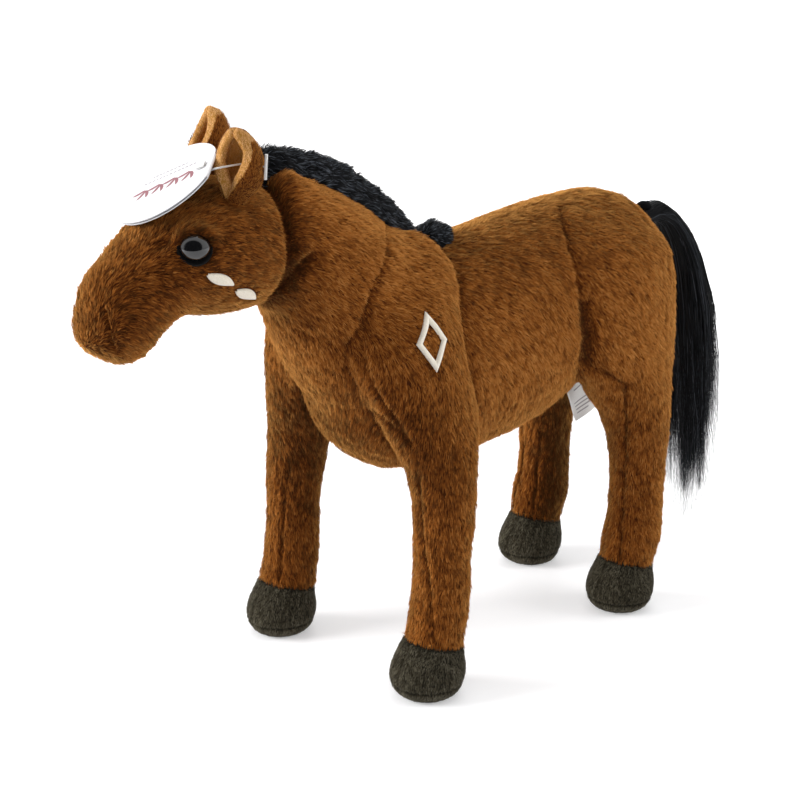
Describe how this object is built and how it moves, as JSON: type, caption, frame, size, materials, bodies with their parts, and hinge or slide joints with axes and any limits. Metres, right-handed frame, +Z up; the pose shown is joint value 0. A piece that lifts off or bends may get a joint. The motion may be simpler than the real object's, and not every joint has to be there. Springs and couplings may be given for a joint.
{
  "type": "plush horse",
  "caption": "Standing stuffed cloth horse with a brush mane, a long hair tail, cloth hooves, domed eyes, a round card tag on one ear and sewn belly labels.",
  "frame": {"origin": "centre of the box around the horse, on the ground that its soles stand on", "axes": "+Z up; the horse faces -Y; +X is its left side"},
  "size_m": [0.136, 0.39, 0.2667],
  "materials": {
    "brown_plush": "short brushed pile",
    "hoof_plush": "short brushed pile",
    "ear_lining": "very short pile",
    "black_pile": "long straight pile",
    "eye_plastic": "polished",
    "washer_plastic": "as moulded",
    "tag_card": "coated card",
    "pin_plastic": "as moulded",
    "label_satin": "satin",
    "stitch_cream": "satin stitch"
  },
  "bodies": {
    "horse": {"torso": "brown_plush", "neck": "brown_plush", "head": "brown_plush", "left_foreleg": "brown_plush", "right_foreleg": "brown_plush", "left_hindleg": "brown_plush", "right_hindleg": "brown_plush", "left_fore_hoof": "hoof_plush", "right_fore_hoof": "hoof_plush", "left_hind_hoof": "hoof_plush", "right_hind_hoof": "hoof_plush", "left_fore_sole": "hoof_plush", "right_fore_sole": "hoof_plush", "left_hind_sole": "hoof_plush", "right_hind_sole": "hoof_plush", "left_ear_back": "brown_plush", "right_ear_back": "brown_plush", "left_ear_lining": "ear_lining", "right_ear_lining": "ear_lining", "mane": "black_pile", "withers_tuft": "black_pile", "left_eye": "eye_plastic", "right_eye": "eye_plastic", "left_eye_washer": "washer_plastic", "right_eye_washer": "washer_plastic", "tag_pin": "pin_plastic", "cheek_leaf_1": "stitch_cream", "cheek_leaf_2": "stitch_cream", "shoulder_lozenge": "stitch_cream"},
    "dock": {"tail_dock": "black_pile"},
    "tail": {"tail_hair": "black_pile"},
    "tag": {"hang_tag": "tag_card"},
    "labels": {"long_label": "label_satin", "short_label": "label_satin"}
  },
  "joints": [
    {"name": "tail_sway", "type": "hinge", "parent": "horse", "child": "dock", "pos_m": [0, 0.13611, 0.19741], "axis": [0, 1, 0], "range_deg": [-18, 18]},
    {"name": "tail_lift", "type": "hinge", "parent": "dock", "child": "tail", "pos_m": [0, 0.13611, 0.19741], "axis": [1, 0, 0], "range_deg": [0, 65]},
    {"name": "tag_turn", "type": "hinge", "parent": "horse", "child": "tag", "pos_m": [0.01037, -0.13966, 0.24797], "axis": [-0.0698, -0.5736, 0.8162], "range_deg": [0, 14]},
    {"name": "label_flap", "type": "hinge", "parent": "horse", "child": "labels", "pos_m": [0, 0.08831, 0.12136], "axis": [0, 0.93, 0.3675], "range_deg": [-35, 35]}
  ]
}
